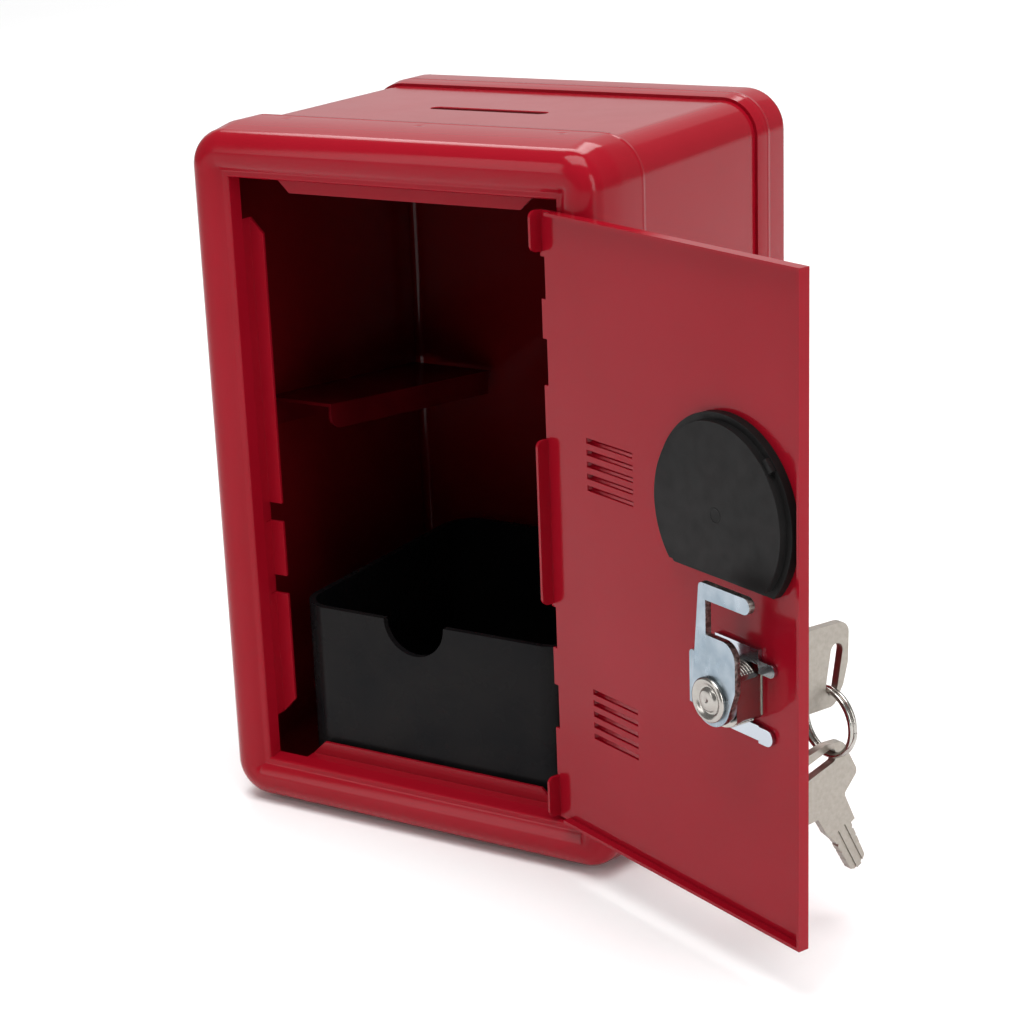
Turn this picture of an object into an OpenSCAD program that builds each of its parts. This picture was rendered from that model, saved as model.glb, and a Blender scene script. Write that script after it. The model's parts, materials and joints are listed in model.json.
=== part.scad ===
// Toy safe coin bank: a stamped steel box with a hinged door, a key lock,
// a turning dial, a small side shelf, a coin slot and a lift-out tray.
// +Z is up and the front faces -Y. The origin lies on the flat underside of
// the front frame's skirt, midway across, where the bank rests on a table.

/* [Case] */
// Width over the front frame
case_w = 117.6; // [110:0.2:130]
// Height over the front frame
case_h = 180; // [170:1:200]
// Depth from the front of the frame to the back
case_d = 101.4; // [96:0.2:120]
// Outer corner radius of the frame
corner_r = 10.5; // [10.5:0.1:14]
// Thickness of the painted sheet steel
sheet = 0.8; // [0.6:0.1:0.8]
// Depth of the front frame's skirt
skirt_d = 23; // [20:0.5:26]
// Length of the coin slot
slot_l = 34; // [28:1:36]
// Width of the coin slot
slot_w = 4.2; // [4.2:0.1:5]

/* [Door] */
// Opening angle of the door as shown
open_angle = 156.4; // [0:0.1:156.4]
// Door width
door_w = 89.8; // [86:0.1:89.8]
// Door height
door_h = 151.4; // [148:0.1:151.8]
// Depth of the door's turned flange
flange_d = 2.8; // [2:0.1:2.9]
// Depth of the tabs on the hinge side
tab_d = 4; // [3:0.1:4.2]

/* [Lock and dial] */
// Radius of the turning dial
dial_r = 18.5; // [16:0.1:19]
// Radius of the D-shaped cover behind the dial
cover_r = 22.2; // [21:0.1:22.5]
// Thickness of the keys
key_t = 2; // [1.6:0.1:2]

/* [Tray] */
// Width of the tray
tray_w = 82.8; // [70:0.2:83]
// Height of the tray
tray_h = 51.6; // [40:0.1:52]
// Wall of the tray
tray_wall = 1.8; // [1.5:0.1:2.5]

/* [Hidden] */
$fn = 72;

// Depth of the origin behind the foremost point of the frame
origin_depth = 14.5;

// Rolled front frame: section across one side, from the outside edge inwards
frame_m = 13.1;
draft = 1;
bull_r = 5.6;
bull_end = 310;
slope_l = 0.6;
cove_r = 1.3;
cove_end = 95;
step_l = 0.4;
nose_r = 0.9;
nose_end = 350;
edge_depth = 5.9;
skirt_front = 12;

open_half_w = case_w / 2 - frame_m;
open_z0 = frame_m;
open_z1 = case_h - frame_m;
lip_depth = 8.9;
lip_w = 3.8;
lip_gap_z = 10.5;
lip_gap_x = 8.7;
lip_chamfer = 4;
strike_z0 = 62.1;
strike_z1 = 76.9;
strike_notch = 5;
tab_depth = 14.3;
strike_tab = [62.8, 74.2];

// Reach of the mitred corners past the corner centres
mitre = 8;

// Body tube, set in from the skirt and the rim, and back
body_inset = 1.4;
turn_in = body_inset - sheet / sqrt(2);
body_y0 = 9.9;
body_y1 = 97;
slot_x = -1;
slot_depth = 52;
rim_y0 = 84.2;
rim_ramp = 4.2;
rim_r = 3.4;
back_pan = 2;
back_pan_edge = 9;

// Side shelf on the left wall
shelf_front = 25;
shelf_back = 96.6;
shelf_z0 = 105;
shelf_z1 = 97.6;
shelf_w0 = 20.7;
shelf_w1 = 25.9;
shelf_lip = 6.6;
shelf_weld = 8;

// Hinge: the axis stands just in front of the door's outer face
fold_x = open_half_w - 0.8;
face_depth = 5.73;
axis_a = 1.58;
axis_b = -1.13;
axis_x = fold_x - axis_a;
axis_depth = face_depth + axis_b;
pin_r = 0.6;
pin_play = 0.05;
loop_r = 1.35;
knuckle_r = 1.0;
knuckle_gap = 0.4;
door_z0 = open_z0 + 0.4;
lower_loops = [[37, 48.4], [58, 68.6]];
upper_loops = [[123.4, 134.6], [144, 154]];
top_tab = [155.2, 164.9];
middle_tab = [69.4, 110.4];
bottom_tab = [13.9, 24.4];
tab_r = 1.6;
tab_room = 1.2;

// Louvres in the door
louvre_a = 15;
louvre_l = 18;
louvre_n = 5;
louvre_pitch = 2.85;
louvre_r = 1.7;
louvre_wall = 0.5;
louvre_groups = [39.2, 101.3];

// Dial, measured from the hinge fold along the door
dial_a = 65.6;
dial_z = 108;
spindle_r = 2.4;
cover_flat = 14.9;
cover_b = 4.8;
cover_step_b = 2.9;
cover_step = 1.6;
cover_wall = 1.2;
wheel_r = 11;
wheel_teeth = 24;

// Lock
lock_a = 70.8;
lock_z = 69.2;
lock_r = 7;
lock_flat = 5.3;
plug_r = 4.6;
plug_front = -4;
plug_back = 8.4;
washer_b = 8.7;
cam_b = 9.4;
cam_t = 1.6;
cam_top = 26;
finger_w = 3.7;
retainer_t = 1.3;
key_stop = -4.3;
key_drop = 0.9;
key_blade = 11.6;
bow_l = 24.2;
bow_w = 19.8;
bow_r = 1.8;
hole_l = 12;
hole_w = 3.6;
hole_u = 4.4;
hole_v = 1.9;
hole_tilt = 10;
keyway_h = 6.9;
wafer_n = 4;
wafer_pitch = 1.8;
wafer_b0 = 0.2;

// Split ring and spare key
wire_r = 0.6;
ring_r = 7.8;
ring_drop = 5.35;
ring_b = -23.4;
hole_low = hole_v + (hole_l - hole_w) / 2 * cos(hole_tilt) + hole_w / 2;
ring_z = lock_z - (bow_w / 2 + key_drop + hole_low) / 2 - ring_drop;
spare_tilt = 28;
spare_x = 4.9;
spare_y = 6.5;

// Tray
tray_y0 = 11;
tray_y1 = 93;
tray_z0 = 2.5;
tray_r = 9.5;
notch_r = 9;
notch_x = -4.5;

// Points on an arc from a0 to a1 degrees
function arc(cx, cy, r, a0, a1, n) =
    [for (i = [0:n]) let (a = a0 + (a1 - a0) * i / n) [cx + r * cos(a), cy + r * sin(a)]];

function unit(v) = v / norm(v);

// Unit normal at point i of a path, turned to the left of its direction
function path_normal(p, i) =
    let (d = unit(p[min(i + 1, len(p) - 1)] - p[max(i - 1, 0)])) [-d[1], d[0]];

// A strip of sheet that lies along a path, on its left side
function strip(p, t) =
    concat(p, [for (i = [len(p) - 1:-1:0]) p[i] + t * path_normal(p, i)]);

// Outer surface of the front frame: distance in from the edge, depth
function frame_path() =
    let (
        bull = arc(draft + bull_r, bull_r, bull_r, 180, bull_end, 18),
        n1 = [-cos(bull_end), -sin(bull_end)],
        p1 = bull[len(bull) - 1] + slope_l * [-sin(bull_end), cos(bull_end)],
        c2 = p1 - cove_r * n1,
        cove = arc(c2[0], c2[1], cove_r, bull_end - 180, cove_end, 4),
        d2 = [sin(cove_end), -cos(cove_end)],
        p2 = cove[len(cove) - 1] + step_l * d2,
        c3 = p2 + nose_r * [-d2[1], d2[0]],
        nose = arc(c3[0], c3[1], nose_r, cove_end + 180, nose_end, 6),
        p3 = nose[len(nose) - 1],
        run = (edge_depth - p3[1]) / cos(nose_end),
        p4 = p3 + run * [-sin(nose_end), cos(nose_end)]
    )
    concat([[turn_in, skirt_d], [0, skirt_d - turn_in], [0, skirt_front]], bull, cove, nose, [p4]);

// Outer surface of the back rim: distance in from the edge, depth
function rim_path() =
    let (round = arc(rim_r, case_d - rim_r, rim_r, 180, 90, 10))
    concat([[back_pan_edge + 1, case_d - back_pan], [back_pan_edge, case_d]],
           [for (i = [len(round) - 1:-1:0]) round[i]],
           [[0, rim_y0 + rim_ramp], [body_inset - sheet, rim_y0]]);

// Everything that belongs to the case is drawn from the front face backwards
module case_frame() {
    translate([0, -origin_depth, 0]) children();
}

// Turns a shape drawn as x, height, minus depth to stand upright
module upright() {
    translate([0, 0, case_h / 2]) rotate([90, 0, 0]) children();
}

module rounded_rect(w, h, r) {
    square([w - 2 * r, h], center = true);
    square([w, h - 2 * r], center = true);
    for (sx = [-1, 1], sy = [-1, 1])
        translate([sx * (w / 2 - r), sy * (h / 2 - r)]) circle(r);
}

module slot_outline(l, w) {
    square([l - w, w], center = true);
    for (s = [-1, 1]) translate([s * (l - w) / 2, 0]) circle(w / 2);
}

// A section swept round the rounded outline of the case, mitred where it lies further in than
// the corner radius
module swept(path, t) {
    section = [for (p = strip(path, t)) [corner_r - p[0], -p[1]]];
    cx = case_w / 2 - corner_r;
    cy = case_h / 2 - corner_r;
    out = corner_r + 1;
    for (k = [0:3]) {
        c = k % 2 == 0 ? [cx, cy] : [cy, cx];
        rotate([0, 0, 90 * k]) translate([c[0], 0, 0]) {
            intersection() {
                rotate([90, 0, 0]) linear_extrude(2 * c[1], center = true) polygon(section);
                translate([0, 0, -case_d - 1]) linear_extrude(case_d + 2)
                    polygon([[0, c[1]], [-mitre, c[1] - mitre], [-mitre, mitre - c[1]], [0, -c[1]],
                             [out, -c[1]], [out, c[1]]]);
            }
            translate([0, c[1], 0]) rotate_extrude(angle = 90) intersection() {
                polygon(section);
                translate([0, -case_d - 1]) square([out, case_d + 2]);
            }
        }
    }
}

// A turned-in lip with clipped ends, drawn from its root line towards +Y
module lip_outline(l) {
    polygon([[-l / 2, -sheet], [l / 2, -sheet], [l / 2, 0], [l / 2 - lip_chamfer, lip_w],
             [lip_chamfer - l / 2, lip_w], [-l / 2, 0]]);
}

module lip_bar(l) {
    linear_extrude(sheet) lip_outline(l);
    translate([-l / 2, -sheet, 0]) cube([l, sheet, lip_depth - edge_depth + sheet]);
}

module lips() {
    side_l = open_z1 - open_z0 - 2 * lip_gap_z;
    flat_l = 2 * (open_half_w - lip_gap_x);
    translate([0, 0, -lip_depth - sheet]) {
        for (k = [0, 180]) {
            rotate([0, 0, k - 90]) translate([0, -open_half_w, 0]) lip_bar(side_l);
            rotate([0, 0, k]) translate([0, frame_m - case_h / 2, 0]) lip_bar(flat_l);
        }
    }
}

// Two cuts that free the strike tab on the left, and room for the door's tabs on the right
module lip_cuts() {
    for (z = [strike_z0 - strike_notch, strike_z1])
        translate([-open_half_w - 0.4, edge_depth + 1, z])
            cube([lip_w + 2, 4, strike_notch]);
    for (t = [top_tab, middle_tab, bottom_tab])
        translate([open_half_w - lip_w - 1, edge_depth + 1, t[0] - tab_room])
            cube([lip_w + 2.2, 4, t[1] - t[0] + 2 * tab_room]);
}

module frame_knuckle(loops) {
    z0 = loops[0][1] + knuckle_gap;
    l = loops[1][0] - knuckle_gap - z0;
    translate([0, 0, z0]) {
        translate([axis_x, axis_depth, 0]) cylinder(r = knuckle_r, h = l);
        translate([axis_x, axis_depth - 0.4, 0]) cube([3.2, 0.8, l]);
    }
}

module hinge_bore(loops, r) {
    translate([axis_x, axis_depth, loops[0][0]]) cylinder(r = r, h = loops[1][1] - loops[0][0]);
}

module front_frame() {
    color("firebrick") case_frame() difference() {
        union() {
            upright() swept(frame_path(), sheet);
            difference() {
                upright() lips();
                lip_cuts();
            }
            translate([-open_half_w - sheet, lip_depth, strike_tab[0]])
                cube([sheet, tab_depth - lip_depth, strike_tab[1] - strike_tab[0]]);
            frame_knuckle(lower_loops);
            frame_knuckle(upper_loops);
        }
        hinge_bore(lower_loops, pin_r);
        hinge_bore(upper_loops, pin_r);
    }
}

module body_outline(inset) {
    rounded_rect(case_w - 2 * inset, case_h - 2 * inset, corner_r - inset);
}

module body_shell() {
    color("firebrick") case_frame() difference() {
        upright() translate([0, 0, -body_y1]) linear_extrude(body_y1 - body_y0) difference() {
            body_outline(body_inset);
            body_outline(body_inset + sheet);
        }
        translate([slot_x, slot_depth, case_h - body_inset - 2 * sheet]) linear_extrude(3 * sheet)
            slot_outline(slot_l, slot_w);
    }
}

module back_panel() {
    pan = 2 * back_pan_edge;
    color("firebrick") case_frame() upright() {
        swept(rim_path(), sheet);
        translate([0, 0, -case_d + back_pan]) linear_extrude(sheet)
            rounded_rect(case_w - pan - 1, case_h - pan - 1, corner_r - back_pan_edge);
    }
}

// A sloping sheet shelf with a turned-down free edge and a weld flange on the wall
module side_shelf() {
    wall_x = body_inset + sheet - case_w / 2;
    slope = atan((shelf_z0 - shelf_z1) / (shelf_back - shelf_front));
    run = (shelf_back - shelf_front) / cos(slope);
    skew = atan((shelf_w1 - shelf_w0) / run);
    edge = run / cos(skew);
    color("firebrick") case_frame()
        translate([wall_x, shelf_front, shelf_z0]) rotate([-slope, 0, 0]) {
            translate([0, 0, -sheet]) linear_extrude(sheet)
                polygon([[0, 0], [shelf_w0, 0], [shelf_w1, run - 0.9], [0, run - 0.9]]);
            translate([0, 0, -shelf_weld]) cube([sheet, run - 1.8, shelf_weld]);
            translate([shelf_w0, 0, 0]) rotate([90, 0, 90 - skew]) mirror([0, 1, 0])
                translate([0, 0, -sheet]) linear_extrude(sheet) difference() {
                    square([edge - 1.8, shelf_lip]);
                    difference() {
                        translate([-1, shelf_lip - 4]) square([5, 5]);
                        translate([4, shelf_lip - 4]) circle(4);
                    }
                }
        }
}

module hinge_pin(loops) {
    color("silver") case_frame() hinge_bore(loops, pin_r);
}

module hinge_pin_upper() {
    hinge_pin(upper_loops);
}

module hinge_pin_lower() {
    hinge_pin(lower_loops);
}

// Door parts are drawn as distance from the hinge fold, height, depth inwards
module door_frame() {
    case_frame() translate([axis_x, axis_depth, 0]) rotate([0, 0, open_angle])
        translate([fold_x - axis_x, face_depth - axis_depth, 0])
            rotate([90, 0, 180]) children();
}

module knuckle_loop(span) {
    translate([0, span[0], 0]) rotate([-90, 0, 0]) linear_extrude(span[1] - span[0])
        difference() {
            union() {
                translate([axis_a, -axis_b]) circle(loop_r);
                translate([axis_a, -0.8]) square([2.4, 2.0]);
            }
            translate([axis_a, -axis_b]) circle(pin_r + pin_play);
        }
}

module hinge_tab(span) {
    r = tab_r;
    h = span[1] - span[0];
    translate([sheet, span[0], 0]) rotate([0, -90, 0]) linear_extrude(sheet) {
        square([tab_d - r, h]);
        translate([0, r]) square([tab_d, h - 2 * r]);
        for (y = [r, h - r]) translate([tab_d - r, y]) circle(r);
    }
}

// A quarter-round hood pressed outwards over a slit, closed at both ends
module louvre_hood() {
    translate([0, 0, 0.3]) rotate([0, 90, 0]) intersection() {
        cube([louvre_r, louvre_r, louvre_l]);
        difference() {
            cylinder(r = louvre_r, h = louvre_l);
            translate([0, 0, louvre_wall])
                cylinder(r = louvre_r - louvre_wall, h = louvre_l - 2 * louvre_wall);
        }
    }
}

module door_louvres() {
    for (g = louvre_groups, i = [0:louvre_n - 1])
        translate([louvre_a, g + i * louvre_pitch, 0]) children();
}

module door_panel() {
    loops = concat(lower_loops, upper_loops);
    color("firebrick") door_frame() {
        difference() {
            union() {
                translate([0, door_z0, 0]) cube([door_w, door_h, sheet]);
                for (y = [door_z0, door_z0 + door_h - sheet])
                    translate([4.5, y, 0]) cube([door_w - 4.5, sheet, flange_d]);
                translate([door_w - sheet, door_z0, 0]) cube([sheet, door_h, flange_d]);
                for (t = [top_tab, middle_tab, bottom_tab]) hinge_tab(t);
            }
            for (s = loops) translate([-1, s[0], -1]) cube([3.2, s[1] - s[0], 3]);
            translate([dial_a, dial_z, -1]) cylinder(r = spindle_r + 0.6, h = 3);
            translate([lock_a, lock_z, -1]) linear_extrude(3) lock_outline(0.05);
            door_louvres() translate([louvre_wall, -0.2, -1])
                cube([louvre_l - 2 * louvre_wall, louvre_r - louvre_wall + 0.2, 3]);
        }
        for (s = loops) knuckle_loop(s);
        door_louvres() louvre_hood();
    }
}

module dial_axis() {
    door_frame() translate([dial_a, dial_z, 0]) children();
}

module cover_outline(r, flat) {
    intersection() {
        circle(r);
        translate([-r, -flat]) square([2 * r, flat + r]);
    }
}

module dial_cover() {
    color("dimgray") dial_axis() difference() {
        union() {
            translate([0, 0, sheet]) linear_extrude(cover_step_b - sheet)
                cover_outline(cover_r, cover_flat);
            translate([0, 0, cover_step_b]) linear_extrude(cover_b - cover_step_b)
                cover_outline(cover_r - cover_step, cover_flat - cover_step);
        }
        translate([0, 0, sheet - 1]) linear_extrude(cover_b - cover_wall - sheet + 1)
            cover_outline(cover_r - cover_wall - cover_step, cover_flat - cover_wall - cover_step);
    }
}

module dial_plate() {
    color("silver") dial_axis() difference() {
        union() {
            translate([0, 0, -1.4]) cylinder(r = dial_r + 1.2, h = 1.4);
            cylinder(r = spindle_r + 0.55, h = sheet);
        }
        translate([0, 0, -3]) cylinder(r = spindle_r + 0.05, h = 6);
    }
}

module dial_knob() {
    grip_r = 9.5;
    flute_n = 24;
    color("lightgray") dial_axis() difference() {
        union() {
            translate([0, 0, -4.6]) cylinder(r1 = dial_r - 2.5, r2 = dial_r, h = 2.2);
            translate([0, 0, -2.4]) cylinder(r = dial_r, h = 0.7);
            translate([0, 0, -11.5]) cylinder(r = grip_r, h = 7);
            translate([0, 0, -12.5]) cylinder(r1 = grip_r - 1, r2 = grip_r, h = 1);
            translate([0, 0, -2]) cylinder(r = spindle_r, h = 3.4);
        }
        for (i = [0:flute_n - 1]) rotate([0, 0, i * 360 / flute_n])
            translate([grip_r + 0.2, 0, -14]) cylinder(r = 0.7, h = 9);
        translate([0, 0, -1]) cylinder(r = 0.8, h = 3);
    }
}

// Detent wheel on the inner end of the dial's spindle
module click_wheel() {
    color("white") dial_axis() difference() {
        translate([0, 0, 1.45]) cylinder(r = wheel_r, h = 0.9);
        for (i = [0:wheel_teeth - 1]) rotate([0, 0, i * 360 / wheel_teeth])
            translate([wheel_r + 0.5, 0, 0]) cylinder(r = 1.1, h = 4);
        cylinder(r = 0.85, h = 4);
    }
}

// Leaf spring whose rounded nose rests in a notch of the wheel
module click_spring() {
    nose = wheel_r + 0.75;
    color("goldenrod") dial_axis() translate([0, 0, sheet]) linear_extrude(1.8) {
        translate([nose, 0]) circle(0.6);
        translate([nose + 0.3, -8]) square([0.5, 8.3]);
        translate([nose + 0.3, -8]) square([4.2, 0.5]);
    }
}

module dial_screw() {
    color("silver") dial_axis() {
        translate([0, 0, -0.9]) cylinder(r = 0.75, h = 3.3);
        difference() {
            translate([0, 0, 2.4]) cylinder(r = 1.6, h = 0.7);
            translate([-2, -0.25, 2.8]) cube([4, 0.5, 1]);
        }
    }
}

module lock_axis() {
    door_frame() translate([lock_a, lock_z, 0]) children();
}

// Round barrel with two flats that stop it turning in the door
module lock_outline(play) {
    intersection() {
        circle(lock_r + play);
        square([2 * (lock_flat + play), 2 * lock_r + 2], center = true);
    }
}

module lock_body() {
    color("silver") lock_axis() difference() {
        union() {
            linear_extrude(plug_back - 0.2) lock_outline(0);
            translate([0, 0, plug_front]) cylinder(r1 = 8.2, r2 = 9, h = 1.6);
            translate([0, 0, plug_front + 1.6]) cylinder(r = 9, h = -plug_front - 1.6);
        }
        translate([0, 0, plug_front - 1]) cylinder(r = plug_r + 0.05, h = 20);
        for (s = [-1, 1]) translate([s * (lock_flat + 0.5) - 0.8, -10, sheet + 0.1])
            cube([1.6, 20, 1.1]);
    }
}

// U-shaped clip in the barrel's side grooves that holds the lock in the door
module lock_clip() {
    color("lightsteelblue") lock_axis() translate([0, 0, sheet + 0.15]) linear_extrude(1)
        union() {
            difference() {
                translate([-9, -10.5]) square([14.2, 21]);
                translate([-lock_flat + 0.25, -7.05]) square([11, 14.1]);
            }
            clip_arm(6.6, 3, 10.3);
            clip_arm(-9.2, 3.8, 9.6);
        }
}

// One arm of the clip: middle height, width and reach
module clip_arm(y, w, reach) {
    translate([5.1, y - w / 2]) square([reach - w / 2 - 5.1, w]);
    translate([reach - w / 2, y]) circle(w / 2);
}

module wafer_slots(grow) {
    for (i = [0:wafer_n - 1]) translate([0, 0, wafer_b0 + i * wafer_pitch])
        translate([-1.8 - grow, -4.1 - 20 * grow, -grow])
            cube([3.6 + 2 * grow, 8.2 + 40 * grow, 0.7 + 2 * grow]);
}

module lock_plug() {
    color("silver") lock_axis() difference() {
        union() {
            translate([0, 0, plug_front]) cylinder(r = plug_r, h = plug_back - plug_front);
            translate([-2.2, -2.2, plug_back - 0.5]) cube([4.4, 4.4, 3.4]);
        }
        translate([-key_t / 2 - 0.1, -keyway_h / 2, plug_front - 1])
            cube([key_t + 0.2, keyway_h, plug_back - plug_front + 0.2]);
        wafer_slots(0.05);
    }
}

module lock_wafers() {
    color("goldenrod") lock_axis() difference() {
        wafer_slots(0);
        translate([-key_t / 2 - 0.1, -keyway_h / 2, plug_front])
            cube([key_t + 0.2, keyway_h, 14]);
    }
}

// The stop washer and the cam turn with the plug
module cam_washer() {
    color("lightsteelblue") lock_axis() translate([0, 0, washer_b]) linear_extrude(0.6)
        difference() {
            union() {
                circle(6.1);
                translate([-9, -3.6]) square([9, 11.4]);
                translate([-8, 7.7]) square([8, 1]);
                translate([-8, 7.7]) circle(1);
            }
            square([4.44, 4.44], center = true);
        }
}

// Hook-shaped cam: a tapered arm up from the plug and a finger to one side
module lock_cam() {
    under = cam_top - finger_w;
    tip = 10.9;
    outline = concat(
        arc(0, 0, 6.2, 172, 345, 24),
        [[8, 3.5]],
        arc(3.9, 10.3, 4.1, 0, 90, 10),
        [[-1.4, 14.4], [-1.4, under]],
        arc(tip, cam_top - finger_w / 2, finger_w / 2, -90, 90, 12),
        arc(-2.6, cam_top - 1.1, 1.1, 90, 170, 5)
    );
    color("lightsteelblue") lock_axis() translate([0, 0, cam_b]) linear_extrude(cam_t)
        difference() {
            polygon(outline);
            square([4.44, 4.44], center = true);
        }
}

module cam_retainer() {
    b = cam_b + cam_t;
    color("silver") lock_axis() translate([0, 0, b]) difference() {
        union() {
            cylinder(r = 5.1, h = retainer_t - 0.4);
            translate([0, 0, retainer_t - 0.4]) cylinder(r1 = 5.1, r2 = 4.6, h = 0.4);
        }
        difference() {
            translate([0, 0, 0.6]) cylinder(r = 3.5, h = 2);
            cylinder(r = 2.7, h = retainer_t - 0.15);
        }
        translate([-2.22, -2.22, -1]) cube([4.44, 4.44, 1.4]);
    }
}

// A flat key: length along +X from the bow's end, width along Y, thickness along Z
module key_shape() {
    top = bow_w / 2 - key_drop;
    low = -bow_w / 2 - key_drop;
    end = bow_l + key_blade;
    pitch = 2.5;
    groove_w = 0.7;
    outline = concat(
        [[bow_l + 0.6, 2.7], [bow_l - 2.8, 3.8], [16.2, 4]],
        arc(13, top - bow_r, bow_r, 20, 90, 4),
        arc(2.9, top - 3.1, 2.9, 90, 180, 6),
        [[0.2, -1.1], [1.6, -6.2]],
        arc(5.8, low + 2.6, 2.6, 205, 270, 5),
        arc(12.9, low + bow_r, bow_r, -90, -20, 4),
        [[16.2, -5.4], [17, -5], [bow_l, -4.6], [bow_l, -3.3], [end - 1.4, -2.7],
         [end, -1], [end, 1], [end - 1.2, 2.3]]
    );
    difference() {
        linear_extrude(key_t, center = true) polygon(outline);
        translate([hole_u, -hole_v]) rotate([0, 0, 90 + hole_tilt])
            linear_extrude(9, center = true) slot_outline(hole_l, hole_w);
        for (i = [0:3]) {
            translate([bow_l + 1.5 + i * pitch, -3.5, 0]) rotate([0, 0, 45])
                cube([1.1, 1.1, 9], center = true);
            translate([bow_l + 2 + i * pitch, 2.9, 0]) rotate([0, 0, 45])
                cube([1, 1, 9], center = true);
        }
        for (s = [-1, 1], y = [-1.3, 0.9])
            translate([bow_l - 1, y - groove_w / 2, s * key_t / 2 - 0.35])
                cube([key_blade + 2, groove_w, 0.7]);
    }
}

module key_in_lock() {
    color("tan") lock_axis() translate([0, 0, key_stop - bow_l]) rotate([0, -90, 0])
        key_shape();
}

// Two turns of wire that pass through the slots of both keys
module key_ring() {
    color("silver") door_frame() translate([lock_a, ring_z, ring_b])
        rotate_extrude() for (s = [-1, 1])
            translate([ring_r, s * 0.95 * wire_r]) circle(wire_r, $fn = 24);
}

module spare_key() {
    color("tan") door_frame() translate([lock_a, ring_z - ring_r, ring_b])
        rotate([spare_tilt, 0, 0]) rotate([0, 90, 0]) rotate([0, 0, -90])
            translate([-spare_x, -spare_y, 0]) rotate([180, 0, 0]) key_shape();
}

module tray_outline(grow) {
    rounded_rect(tray_w + 2 * grow, tray_y1 - tray_y0 + 2 * grow, tray_r + grow);
}

module tray() {
    mid_y = (tray_y0 + tray_y1) / 2;
    color("dimgray") case_frame() difference() {
        translate([0, mid_y, tray_z0]) linear_extrude(tray_h) tray_outline(0);
        translate([0, mid_y, tray_z0 + tray_wall]) linear_extrude(tray_h)
            tray_outline(-tray_wall);
        translate([notch_x, tray_y0, tray_z0 + tray_h]) rotate([90, 0, 0])
            cylinder(r = notch_r, h = 3 * tray_wall, center = true);
    }
}

front_frame();
body_shell();
back_panel();
side_shelf();
hinge_pin_upper();
hinge_pin_lower();
door_panel();
dial_cover();
dial_plate();
dial_knob();
click_wheel();
click_spring();
dial_screw();
lock_body();
lock_clip();
lock_plug();
lock_wafers();
cam_washer();
lock_cam();
cam_retainer();
key_in_lock();
key_ring();
spare_key();
tray();
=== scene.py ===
"""Toy safe coin bank: looks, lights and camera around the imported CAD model."""

import json
import math

import bmesh
import bpy
from mathutils import Matrix, Vector


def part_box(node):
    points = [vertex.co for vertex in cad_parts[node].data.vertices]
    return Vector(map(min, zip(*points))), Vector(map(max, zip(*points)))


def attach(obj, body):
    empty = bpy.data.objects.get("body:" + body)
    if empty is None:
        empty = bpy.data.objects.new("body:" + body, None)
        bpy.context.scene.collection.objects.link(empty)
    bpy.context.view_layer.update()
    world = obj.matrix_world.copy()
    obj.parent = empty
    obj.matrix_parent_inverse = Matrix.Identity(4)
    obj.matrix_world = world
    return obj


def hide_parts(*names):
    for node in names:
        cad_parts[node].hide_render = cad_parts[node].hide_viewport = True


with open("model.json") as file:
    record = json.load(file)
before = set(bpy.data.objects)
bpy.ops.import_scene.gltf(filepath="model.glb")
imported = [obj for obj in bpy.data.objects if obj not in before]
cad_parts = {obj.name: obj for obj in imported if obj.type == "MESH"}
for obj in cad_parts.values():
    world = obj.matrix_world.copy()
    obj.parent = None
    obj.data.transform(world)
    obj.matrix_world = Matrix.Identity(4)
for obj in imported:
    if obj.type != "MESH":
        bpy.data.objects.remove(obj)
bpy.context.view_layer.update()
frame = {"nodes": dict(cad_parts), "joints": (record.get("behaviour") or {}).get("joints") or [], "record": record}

MM = 0.001

# ---------------------------------------------------------------- frame values

NODES = frame["nodes"]
JOINTS = {j["name"]: j for j in frame["joints"]}
CASE_LOW, CASE_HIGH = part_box("front_frame")
DIAL = JOINTS["dial_spin"]
KEY = JOINTS["key_turn"]

# The door's own axes at rest: across from the hinge, up, and towards its inner face
DOOR_IN = Vector(DIAL["axis"]).normalized()
DOOR_UP = Vector((0, 0, 1))
DOOR_ACROSS = DOOR_UP.cross(DOOR_IN)


# ------------------------------------------------------------------ materials


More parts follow.
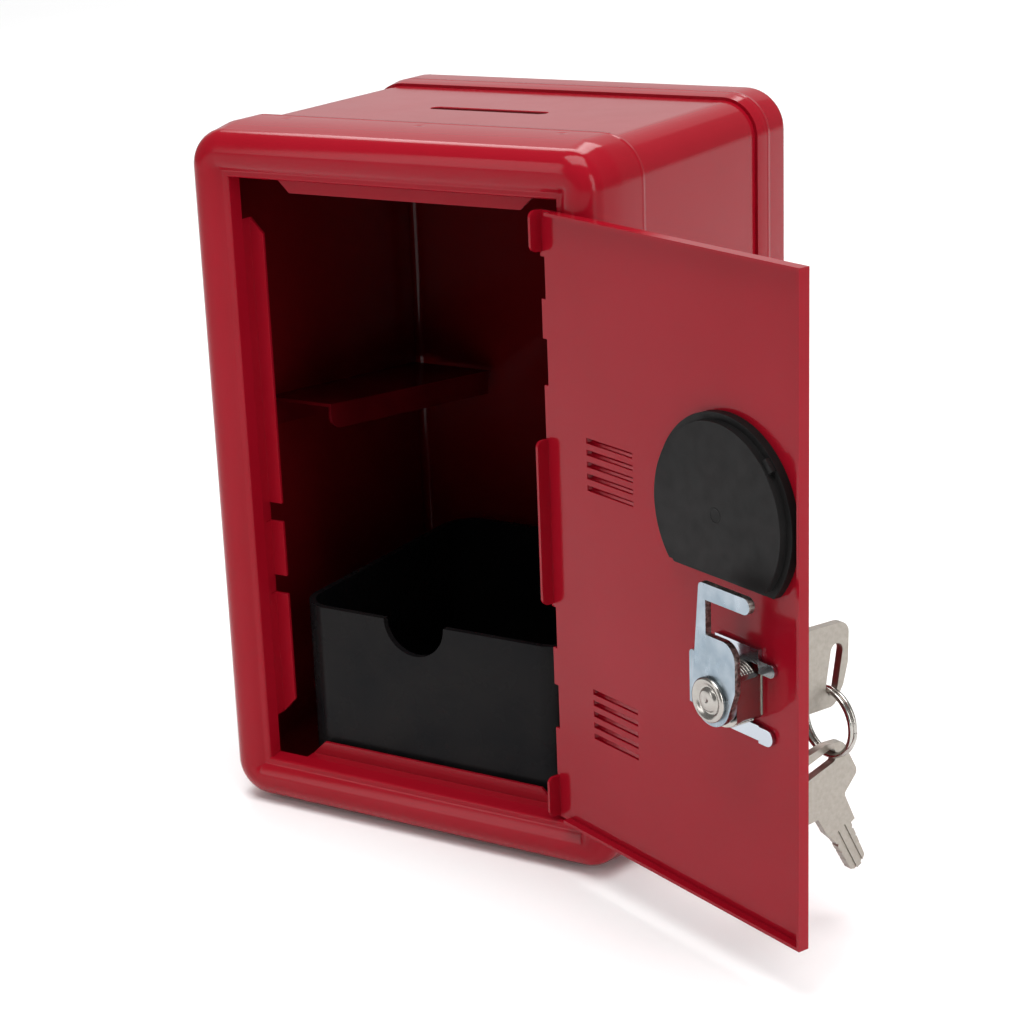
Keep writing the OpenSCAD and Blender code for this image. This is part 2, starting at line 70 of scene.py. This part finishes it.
class Shader:
    """A node material with one Principled shader and short helpers."""

    def __init__(self, name, colour, **values):
        self.material = bpy.data.materials.new(name)
        self.material.use_nodes = True
        self.tree = self.material.node_tree
        self.bsdf = self.tree.nodes["Principled BSDF"]
        self.bsdf.inputs["Base Color"].default_value = (*colour, 1)
        for key, value in values.items():
            self.bsdf.inputs[key.replace("_", " ")].default_value = value
        texture = self.add("ShaderNodeTexCoord")
        self.coords = texture.outputs["Object"]
        self.normal = texture.outputs["Normal"]
        self.bumps = []

    def add(self, kind, **settings):
        node = self.tree.nodes.new(kind)
        for key, value in settings.items():
            setattr(node, key, value)
        return node

    def link(self, a, b):
        self.tree.links.new(a, b)

    def noise(self, scale, detail=2.0, stretch=None):
        """Noise with about `scale` features a metre, stretched along the row axes if asked."""
        node = self.add("ShaderNodeTexNoise")
        node.inputs["Scale"].default_value = scale
        node.inputs["Detail"].default_value = detail
        source = self.coords
        if stretch:
            mapping = self.add("ShaderNodeMapping")
            mapping.inputs["Scale"].default_value = stretch
            self.link(self.coords, mapping.inputs["Vector"])
            source = mapping.outputs["Vector"]
        self.link(source, node.inputs["Vector"])
        return node.outputs["Fac"]

    def ramp(self, value, low, high, out_low, out_high):
        """Maps a value from low..high to out_low..out_high, clamped."""
        node = self.add("ShaderNodeMapRange")
        node.inputs["From Min"].default_value = low
        node.inputs["From Max"].default_value = high
        node.inputs["To Min"].default_value = out_low
        node.inputs["To Max"].default_value = out_high
        self.link(value, node.inputs["Value"])
        return node.outputs["Result"]

    def blend(self, value, first, second):
        """Base colour that goes from first to second as value goes from 0 to 1."""
        node = self.add("ShaderNodeMix", data_type="RGBA")
        a, b = [i for i in node.inputs if i.type == "RGBA"]
        a.default_value = (*first, 1)
        b.default_value = (*second, 1)
        self.link(value, node.inputs["Factor"])
        result = next(o for o in node.outputs if o.type == "RGBA")
        self.link(result, self.bsdf.inputs["Base Color"])
        return result

    def mix(self, value, first, second):
        """Base colour that goes from the socket `first` to a second socket or colour."""
        node = self.add("ShaderNodeMix", data_type="RGBA")
        a, b = [i for i in node.inputs if i.type == "RGBA"]
        self.link(first, a)
        if isinstance(second, bpy.types.NodeSocket):
            self.link(second, b)
        else:
            b.default_value = (*second, 1)
        self.link(value, node.inputs["Factor"])
        self.link(next(o for o in node.outputs if o.type == "RGBA"), self.bsdf.inputs["Base Color"])

    def dimple(self, place, radius, depth):
        """A round dent of that radius and depth at a place in the row frame."""
        node = self.add("ShaderNodeVectorMath", operation="DISTANCE")
        self.link(self.coords, node.inputs[0])
        node.inputs[1].default_value = place
        self.bump(self.ramp(node.outputs["Value"], 0.3 * radius, radius, 0, 1), depth)

    def rough(self, value, low, high, out_low, out_high):
        """Roughness that follows a value, mapped as in ramp."""
        self.link(self.ramp(value, low, high, out_low, out_high), self.bsdf.inputs["Roughness"])

    def facing(self, direction):
        """How far the piece's own surface faces a fixed direction or socket, from -1 to 1."""
        node = self.add("ShaderNodeVectorMath", operation="DOT_PRODUCT")
        self.link(self.normal, node.inputs[0])
        if isinstance(direction, bpy.types.NodeSocket):
            self.link(direction, node.inputs[1])
        else:
            node.inputs[1].default_value = direction
        return node.outputs["Value"]

    def math(self, operation, first, second=None):
        """The result of a maths operation on one or two sockets."""
        node = self.add("ShaderNodeMath", operation=operation)
        self.link(first, node.inputs[0])
        if second is not None:
            self.link(second, node.inputs[1])
        return node.outputs[0]

    def bump(self, value, height, strength=1.0):
        """Adds a bump of that height in metres on top of the earlier ones."""
        node = self.add("ShaderNodeBump")
        node.inputs["Distance"].default_value = height
        node.inputs["Strength"].default_value = strength
        self.link(value, node.inputs["Height"])
        if self.bumps:
            self.link(self.bumps[-1].outputs["Normal"], node.inputs["Normal"])
        self.bumps.append(node)
        self.link(node.outputs["Normal"], self.bsdf.inputs["Normal"])


def red_enamel(name="red_enamel"):
    s = Shader(name, (0.27, 0.003, 0.010), IOR=1.5, Specular_IOR_Level=0.16)
    s.base = s.blend(s.ramp(s.noise(28, 2), 0.3, 0.7, 0, 1), (0.26, 0.0030, 0.010), (0.28, 0.0042, 0.013))
    s.rough(s.noise(120, 3), 0.3, 0.7, 0.12, 0.16)
    s.bump(s.noise(1500, 1), 0.000004, 0.3)
    s.bump(s.noise(60, 1), 0.00003, 0.15)
    return s


def black_gloss():
    s = Shader("black_gloss_plastic", (0.006, 0.006, 0.007), IOR=1.5, Specular_IOR_Level=0.07)
    s.blend(s.ramp(s.noise(60, 3), 0.3, 0.7, 0, 1), (0.005, 0.005, 0.006), (0.010, 0.009, 0.009))
    s.rough(s.noise(160, 3), 0.3, 0.7, 0.20, 0.32)
    s.bump(s.noise(700, 2), 0.000006, 0.3)
    s.bump(s.noise(40, 1), 0.0001, 0.12)
    return s.material


def black_satin():
    s = Shader("black_satin_plastic", (0.012, 0.012, 0.012), IOR=1.48, Specular_IOR_Level=0.15)
    s.blend(s.ramp(s.noise(90, 3), 0.3, 0.7, 0, 1), (0.007, 0.007, 0.007), (0.012, 0.011, 0.011))
    s.rough(s.noise(300, 3), 0.3, 0.7, 0.42, 0.55)
    s.bump(s.noise(1800, 2), 0.000012, 0.3)
    return s.material


def zinc_plate(rim=False):
    """Zinc plate. With rim, the sheared sides show steel with upright tear lines."""
    s = Shader("zinc_cam" if rim else "zinc_plate", (0.5, 0.6, 0.68), Metallic=1.0)
    plate = s.blend(s.ramp(s.noise(160, 4), 0.35, 0.7, 0, 1), (0.24, 0.30, 0.35), (0.38, 0.43, 0.48))
    if rim:
        torn = s.ramp(s.noise(1500, 3), 0.4, 0.65, 0, 1)
        steel = s.blend(torn, (0.13, 0.115, 0.105), (0.34, 0.30, 0.28))
        side = s.ramp(s.math("ABSOLUTE", s.facing(DOOR_IN)), 0.35, 0.6, 1, 0)
        s.mix(side, plate, steel)
    s.rough(s.noise(500, 4, (1, 1, 0.35)), 0.3, 0.7, 0.24, 0.42)
    s.bump(s.noise(650, 4), 0.00006, 0.5)
    return s.material


def nickel():
    s = Shader("nickel_plate", (0.50, 0.47, 0.43), Metallic=1.0)
    s.blend(s.ramp(s.noise(500, 3), 0.3, 0.7, 0, 1), (0.37, 0.35, 0.325), (0.43, 0.41, 0.38))
    s.rough(s.noise(900, 3), 0.3, 0.7, 0.18, 0.26)
    s.bump(s.noise(1400, 2), 0.000006, 0.35)
    return s.material


def key_metal():
    s = Shader("key_nickel", (0.52, 0.46, 0.39), Metallic=1.0)
    s.blend(s.ramp(s.noise(900, 3), 0.3, 0.7, 0, 1), (0.31, 0.285, 0.25), (0.36, 0.33, 0.295))
    s.rough(s.noise(1500, 3), 0.3, 0.7, 0.30, 0.46)
    s.bump(s.noise(3600, 2), 0.00004, 0.5)
    return s.material


def polished_clip():
    s = Shader("polished_clip", (0.46, 0.50, 0.55), Metallic=1.0)
    s.rough(s.noise(400, 4, (1, 1, 0.3)), 0.3, 0.7, 0.08, 0.20)
    s.bump(s.noise(300, 2), 0.00006, 0.4)
    return s.material


def drawn_steel():
    s = Shader("drawn_steel", (0.5, 0.5, 0.5), Metallic=1.0)
    s.rough(s.noise(900, 3, (1, 1, 0.05)), 0.3, 0.7, 0.25, 0.4)
    return s.material


def spring_brass():
    s = Shader("spring_brass", (0.72, 0.50, 0.20), Metallic=1.0)
    s.rough(s.noise(900, 3), 0.3, 0.7, 0.25, 0.4)
    return s.material


def white_nylon():
    s = Shader("white_nylon", (0.75, 0.75, 0.71), Subsurface_Weight=0.1)
    s.rough(s.noise(600, 3), 0.3, 0.7, 0.4, 0.55)
    return s.material


def dial_metal():
    s = Shader("dial_metal", (0.55, 0.55, 0.56), Metallic=1.0)
    s.blend(s.ramp(s.noise(400, 3), 0.3, 0.7, 0, 1), (0.40, 0.40, 0.41), (0.46, 0.46, 0.47))
    s.rough(s.noise(900, 2), 0.3, 0.7, 0.24, 0.30)
    s.bump(s.noise(1500, 2), 0.000004, 0.4)
    return s.material


def dial_print():
    s = Shader("dial_print", (0.02, 0.02, 0.02))
    s.rough(s.noise(900, 3), 0.3, 0.7, 0.35, 0.5)
    return s.material


# Painted shade: faces of the case that look into its hollow get a darker red, from the first depth to the second,
# in mm
INSIDE_SHADE_DEPTHS = {"frame_enamel": (10.5, 20), "shell_enamel": (10.5, 200), "back_enamel": (93, 200)}
# Depth of the rolled line along a loose sheet edge, in mm
ROLLED = {"frame_enamel": 21.3, "back_enamel": 89.3}
# Where the press left a shallow mark in the frame's top: across, and the depth of the row, in mm
PRESS_MARKS = (-38, 1, 40)
PRESS_ROW = 17


def depth(s):
    """Depth of a point behind the front of the case, in metres."""
    split = s.add("ShaderNodeSeparateXYZ")
    s.link(s.coords, split.inputs["Vector"])
    node = s.add("ShaderNodeMath", operation="SUBTRACT")
    s.link(split.outputs["Y"], node.inputs[0])
    node.inputs[1].default_value = CASE_LOW.y
    return node.outputs[0]


def painted_inner_shade(s, start, stop):
    """1 on faces of the case that look towards the middle of its hollow, else 0: the mask for the painted shade
    there.
    """
    middle = Vector((0, CASE_LOW.y + 50 * MM, CASE_HIGH.z / 2))
    node = s.add("ShaderNodeVectorMath", operation="SUBTRACT")
    node.inputs[0].default_value = middle
    s.link(s.coords, node.inputs[1])
    inward = s.ramp(s.facing(node.outputs["Vector"]), -0.002, 0.002, 0, 1)
    place = depth(s)
    deep = s.ramp(place, start * MM, (start + 2) * MM, 0, 1)
    shallow = s.ramp(place, stop * MM, (stop + 0.1) * MM, 1, 0)
    return s.math("MULTIPLY", s.math("MULTIPLY", inward, deep), shallow)


def rolled_line(s, line, width=1.0):
    """A fine raised line at one depth, all round the case."""
    place = depth(s)
    rise = s.ramp(place, (line - width) * MM, line * MM, 0, 1)
    fall = s.ramp(place, line * MM, (line + width) * MM, 1, 0)
    s.bump(s.math("MULTIPLY", rise, fall), 0.00012)


def case_enamel(name, painted_shade_colour=(0.100, 0.0022, 0.0036)):
    """Enamel with painted shade on the faces in the case's hollow, and the rolled line and press marks where the
    part has them.
    """
    s = red_enamel(name)
    # Painted shade: a darker red on the faces in the case's hollow stands in for the dim light there
    s.mix(painted_inner_shade(s, *INSIDE_SHADE_DEPTHS[name]), s.base, painted_shade_colour)
    if name in ROLLED:
        rolled_line(s, ROLLED[name])
    if name == "frame_enamel":
        for x in PRESS_MARKS:
            s.dimple((x * MM, CASE_LOW.y + PRESS_ROW * MM, CASE_HIGH.z), 1.6 * MM, 0.00012)
    return s.material


def shelf_enamel_painted_shade():
    s = red_enamel("shelf_enamel_painted_shade")
    # Painted shade: the shelf is the case's red enamel, drawn much darker because it sits in the dim hollow of the
    # case
    s.blend(s.ramp(s.noise(40, 2), 0.3, 0.7, 0, 1), (0.06, 0.0012, 0.003), (0.10, 0.0018, 0.005))
    return s.material


MATERIALS = {
    "red_paint": red_enamel().material,
    "black_plastic": black_gloss(),
    "zinc": zinc_plate(),
    "nickel": nickel(),
    "clip_steel": polished_clip(),
    "pin_steel": drawn_steel(),
    "brass": spring_brass(),
    "white_plastic": white_nylon(),
    "dial_metal": dial_metal(),
}
SPECIAL = {
    "front_frame": case_enamel("frame_enamel"),
    "body_shell": case_enamel("shell_enamel"),
    "back_panel": case_enamel("back_enamel"),
    "dial_cover": black_satin(),
    "key_in_lock": key_metal(),
    "side_shelf": shelf_enamel_painted_shade(),
    "lock_cam": zinc_plate(rim=True),
}
SPECIAL["spare_key"] = SPECIAL["key_in_lock"]

# ------------------------------------------------------- finish on CAD pieces


def paint(obj, material):
    obj.data.materials.clear()
    obj.data.materials.append(material)


def soften(obj, width, angle=35, segments=2):
    """Rounds a node's crisp edges and shades its curves smooth, leaving its mesh as it is."""
    weld = obj.modifiers.new("weld", "WELD")
    weld.merge_threshold = 1e-6
    bevel = obj.modifiers.new("edges", "BEVEL")
    bevel.width = width
    bevel.segments = segments
    bevel.limit_method = "ANGLE"
    bevel.angle_limit = math.radians(angle)
    bevel.use_clamp_overlap = True
    bevel.harden_normals = False
    normals = obj.modifiers.new("normals", "WEIGHTED_NORMAL")
    normals.keep_sharp = True
    for polygon in obj.data.polygons:
        polygon.use_smooth = True


# Width of each node's rounded edges, in mm
OTHER_EDGES = 0.08
EDGES = {
    "front_frame": 0.22,
    "body_shell": 0.2,
    "back_panel": 0.25,
    "side_shelf": 0.22,
    "door_panel": 0.16,
    "dial_cover": 0.35,
    "tray": 0.5,
    "lock_cam": 0.3,
    "cam_washer": 0.15,
    "cam_retainer": 0.25,
    "lock_clip": 0.25,
    "lock_body": 0.25,
    "key_in_lock": 0.22,
    "spare_key": 0.22,
    "dial_knob": 0.2,
    "dial_plate": 0.2,
}

for entry in frame["record"]["subparts"]:
    name = entry["node"]
    paint(NODES[name], MATERIALS[entry["material_slot"]])
    soften(NODES[name], EDGES.get(name, OTHER_EDGES) * MM)
for name, material in SPECIAL.items():
    paint(NODES[name], material)

# ------------------------------------------------------------- added pieces

# Middles of the lock and dial on the door's outer face. A shape there is drawn with b, its depth
# behind that face in mm. The dial's joint stands in front of the face.
DIAL_JOINT_OUT = 6
LOCK_AT = Vector(KEY["pos_m"])
DIAL_AT = Vector(DIAL["pos_m"]) + DIAL_JOINT_OUT * MM * DOOR_IN
RING_LOW, RING_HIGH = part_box("key_ring")


def piece(name, verts, faces, material, body, smooth=True):
    """A mesh object that rides on a CAD body."""
    mesh = bpy.data.meshes.new(name)
    mesh.from_pydata([tuple(v) for v in verts], [], faces)
    mesh.validate()
    obj = bpy.data.objects.new(name, mesh)
    bpy.context.scene.collection.objects.link(obj)
    form = bmesh.new()
    form.from_mesh(mesh)
    bmesh.ops.recalc_face_normals(form, faces=form.faces)
    form.to_mesh(mesh)
    form.free()
    for polygon in mesh.polygons:
        polygon.use_smooth = smooth
    mesh.materials.append(material)
    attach(obj, body)
    return obj


def door_point(middle, a, z, b):
    """A point a mm across, z mm up and b mm inwards from a middle on the door."""
    return middle + (a * DOOR_ACROSS + z * DOOR_UP + b * DOOR_IN) * MM


def revolved(middle, profile, steps=64, start=0.0, sweep=360.0):
    """A profile of (radius, b) points in mm turned round the door's inward axis."""
    full = sweep >= 360
    columns = steps if full else steps + 1
    verts, faces = [], []
    for i in range(columns):
        angle = math.radians(start + sweep * i / steps)
        for radius, b in profile:
            verts.append(door_point(middle, radius * math.cos(angle), radius * math.sin(angle), b))
    n = len(profile)
    for i in range(steps):
        first, second = i * n, ((i + 1) % columns) * n
        for k in range(n):
            faces.append((first + k, second + k, second + (k + 1) % n, first + (k + 1) % n))
    if not full:
        faces += [tuple(range(n)), tuple(range((columns - 1) * n, columns * n))]
    return verts, faces


def add_piece(name, shapes, material, body, smooth=True):
    """One piece out of several shapes, each a list of corners and a list of faces."""
    verts, faces = [], []
    for v, f in shapes:
        faces += [tuple(len(verts) + i for i in face) for face in f]
        verts += v
    return piece(name, verts, faces, material, body, smooth)


def block(origin, ex, ey, ez, low, high):
    """A box from low to high, in mm, along three unit axes."""
    verts = [
        origin + (x * ex + y * ey + z * ez) * MM
        for x in (low[0], high[0]) for y in (low[1], high[1]) for z in (low[2], high[2])
    ]
    faces = [(0, 1, 3, 2), (4, 6, 7, 5), (0, 4, 5, 1), (2, 3, 7, 6), (0, 2, 6, 4), (1, 5, 7, 3)]
    return verts, faces


# Depths and radii of the added details, in mm
CAP_FOOT = 11.0
BARREL_R = 6.9
THREAD_FROM = 2.5
THREAD_PITCH = 0.78
THREAD_COUNT = 7
COVER_FACE = 4.8
TAB_ANGLE = 42


def cam_cap():
    """The dished cap on the plug, with a domed boss in its middle."""
    b = CAP_FOOT
    outer = [(0.02, b + 0.45), (5.1, b), (5.1, b + 0.85), (4.8, b + 1.25), (4.3, b + 1.25)]
    dish = [(3.6, b + 0.75), (3.2, b + 0.5), (2.75, b + 0.5)]
    boss = [(2.55, b + 1.0), (2.1, b + 1.22), (1.0, b + 1.28), (0.02, b + 1.29)]
    obj = add_piece("cap_dish", [revolved(LOCK_AT, outer + dish + boss)],
                    MATERIALS["nickel"], "key_and_cam")
    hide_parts("cam_retainer")


def barrel_threads():
    """Thread crests on the two round sides of the barrel."""
    shapes = []
    tip = BARREL_R + 0.32
    for i in range(THREAD_COUNT):
        b = THREAD_FROM + THREAD_PITCH * i
        crest = [(BARREL_R, b), (tip, b + 0.2), (tip, b + 0.34), (BARREL_R, b + 0.54)]
        for side in (90, 270):
            shapes.append(revolved(LOCK_AT, crest, 16, side - 40, 80))
    add_piece("barrel_threads", shapes, MATERIALS["nickel"], "door")


def cover_marks():
    """The moulding gate's mark and a snap tab on the cover behind the dial."""
    b = COVER_FACE
    mark = [(1.4, b - 0.05), (1.48, b + 0.06), (1.72, b + 0.06), (1.8, b - 0.05)]
    shapes = [revolved(DIAL_AT, mark, 72)]
    angle = math.radians(TAB_ANGLE)
    out = math.cos(angle) * DOOR_ACROSS + math.sin(angle) * DOOR_UP
    along = -math.sin(angle) * DOOR_ACROSS + math.cos(angle) * DOOR_UP
    shapes.append(block(DIAL_AT, out, along, DOOR_IN, (19.6, -1.6, 2.8), (22.0, 1.6, 4.2)))
    obj = add_piece("cover_marks", shapes, SPECIAL["dial_cover"], "door")
    bevel = obj.modifiers.new("edges", "BEVEL")
    bevel.width = 0.1 * MM
    bevel.segments = 2


# Strokes between the points of a grid two wide and three high, then the strokes of each digit
STROKES = {
    "a": ((0, 2), (1, 2)), "b": ((1, 1), (1, 2)), "c": ((1, 0), (1, 1)), "d": ((0, 0), (1, 0)),
    "e": ((0, 0), (0, 1)), "f": ((0, 1), (0, 2)), "g": ((0, 1), (1, 1)),
}
DIGITS = ["abcdef", "bc", "abged", "abgcd", "fgbc", "afgcd", "afgedc", "abc", "abcdefg", "abfgcd"]
DIAL_LINES = 50
NUMBER_EVERY = 5


def dial_marks():
    """Graduation lines and a number at every fifth, on the dial's sloping edge, and a fixed pointer."""
    right = -DOOR_ACROSS
    out = -DOOR_IN
    low_r, high_r, low_b, high_b = 16.0, 18.5, -4.6, -2.4
    run = math.hypot(high_r - low_r, high_b - low_b)
    ink = dial_print()
    shapes = []
    for i in range(DIAL_LINES):
        angle = 2 * math.pi * i / DIAL_LINES
        radial = math.cos(angle) * DOOR_UP + math.sin(angle) * right
        along = -math.sin(angle) * DOOR_UP + math.cos(angle) * right
        down = ((high_r - low_r) * radial - (high_b - low_b) * out) / run
        face = ((high_b - low_b) * radial + (high_r - low_r) * out) / run
        origin = DIAL_AT + (high_r * radial - high_b * out) * MM
        long = 1.15 if i % NUMBER_EVERY == 0 else 0.75
        shapes.append(block(origin, along, down, face, (-0.12, -0.1 - long, -0.05), (0.12, -0.1, 0.03)))
        if i % NUMBER_EVERY:
            continue
        label = str(2 * i)
        wide, tall, pitch = 0.62, 1.3, 1.1
        pen, foot = 0.11, -3.0
        for place, figure in enumerate(label):
            x0 = (place - (len(label) - 1) / 2) * pitch - wide / 2
            for stroke in DIGITS[int(figure)]:
                (c0, r0), (c1, r1) = STROKES[stroke]
                low = (x0 + c0 * wide - pen, foot + r0 * tall / 2 - pen, -0.05)
                high = (x0 + c1 * wide + pen, foot + r1 * tall / 2 + pen, 0.03)
                shapes.append(block(origin, along, down, face, low, high))
    add_piece("dial_marks", shapes, ink, "dial", smooth=False)
    pointer = block(DIAL_AT, right, DOOR_UP, out, (-0.25, 18.6, 1.35), (0.25, 19.6, 1.45))
    add_piece("dial_pointer", [pointer], ink, "door", smooth=False)


def ring_end():
    """The step where the ring's wire crosses from one turn to the other."""
    middle = (RING_LOW + RING_HIGH) / 2
    verts, faces = [], []
    steps, sides = 18, 12
    radius, wire, shift = 7.8, 0.6, 0.57
    for i in range(steps + 1):
        t = i / steps
        angle = math.radians(-35 + 34 * t)
        lift = radius + 0.6 * wire * math.sin(math.pi * t)
        b = shift * math.cos(math.pi * t)
        out = math.cos(angle) * DOOR_ACROSS + math.sin(angle) * DOOR_UP
        centre = middle + (lift * out + b * DOOR_IN) * MM
        for k in range(sides):
            turn = 2 * math.pi * k / sides
            verts.append(centre + wire * MM * (math.cos(turn) * out + math.sin(turn) * DOOR_IN))
    for i in range(steps):
        for k in range(sides):
            a, b = i * sides + k, i * sides + (k + 1) % sides
            faces.append((a, b, b + sides, a + sides))
    faces += [tuple(range(sides)), tuple(range(steps * sides, (steps + 1) * sides))]
    piece("ring_end", verts, faces, MATERIALS["nickel"], "ring")


cam_cap()
barrel_threads()
cover_marks()
dial_marks()
ring_end()

# ---------------------------------------------------------- floor, light, view

LENS = 83.24
CAMERA_AT = (0.31204, -0.47235, 0.26435)
CAMERA_FORWARD = (-0.49553, 0.81302, -0.30570)
CAMERA_ROLL = -2.21
MIDDLE = (0, 0.035, 0.09)


def floor():
    mesh = bpy.data.meshes.new("floor")
    form = bmesh.new()
    bmesh.ops.create_grid(form, x_segments=2, y_segments=2, size=3.0)
    form.to_mesh(mesh)
    obj = bpy.data.objects.new("floor", mesh)
    bpy.context.scene.collection.objects.link(obj)
    obj.location = (0, 0, CASE_LOW.z - 0.0002)
    s = Shader("pale_floor", (0.95, 0.95, 0.95))
    s.rough(s.noise(8, 2), 0.3, 0.7, 0.75, 0.85)
    paint(obj, s.material)


def softbox(name, place, target, size, power):
    light = bpy.data.lights.new(name, "AREA")
    light.shape = "RECTANGLE"
    light.size, light.size_y = size
    light.energy = power
    obj = bpy.data.objects.new(name, light)
    bpy.context.scene.collection.objects.link(obj)
    obj.location = place
    obj.rotation_euler = (Vector(target) - Vector(place)).to_track_quat("-Z", "Y").to_euler()


def daylight(strength):
    world = bpy.data.worlds.new("studio")
    world.use_nodes = True
    background = world.node_tree.nodes["Background"]
    background.inputs["Color"].default_value = (1, 1, 1, 1)
    background.inputs["Strength"].default_value = strength
    bpy.context.scene.world = world


def camera():
    data = bpy.data.cameras.new("camera")
    data.sensor_width = 36
    data.lens = LENS
    data.clip_start = 0.05
    obj = bpy.data.objects.new("camera", data)
    bpy.context.scene.collection.objects.link(obj)
    roll = Matrix.Rotation(math.radians(CAMERA_ROLL), 3, "Z")
    turn = Vector(CAMERA_FORWARD).to_track_quat("-Z", "Y").to_matrix() @ roll
    obj.matrix_world = Matrix.Translation(CAMERA_AT) @ turn.to_4x4()
    bpy.context.scene.camera = obj


bpy.context.scene.view_settings.view_transform = "Standard"
floor()
daylight(0.28)
softbox("overhead", (0.2, -0.2, 1.5), MIDDLE, (1.2, 0.9), 25)
softbox("backdrop", (-0.9, 1.5, 0.75), MIDDLE, (2.4, 1.1), 3)
softbox("left_front", (-0.9, -1.5, 0.75), MIDDLE, (0.5, 1.3), 6)
softbox("right", (1.5, -0.5, 0.6), MIDDLE, (0.4, 1.1), 8)
softbox("floor_wash", (-1.2, 2.2, 2.6), (-1.1, 1.7, 0), (2.4, 1.6), 60)
camera()
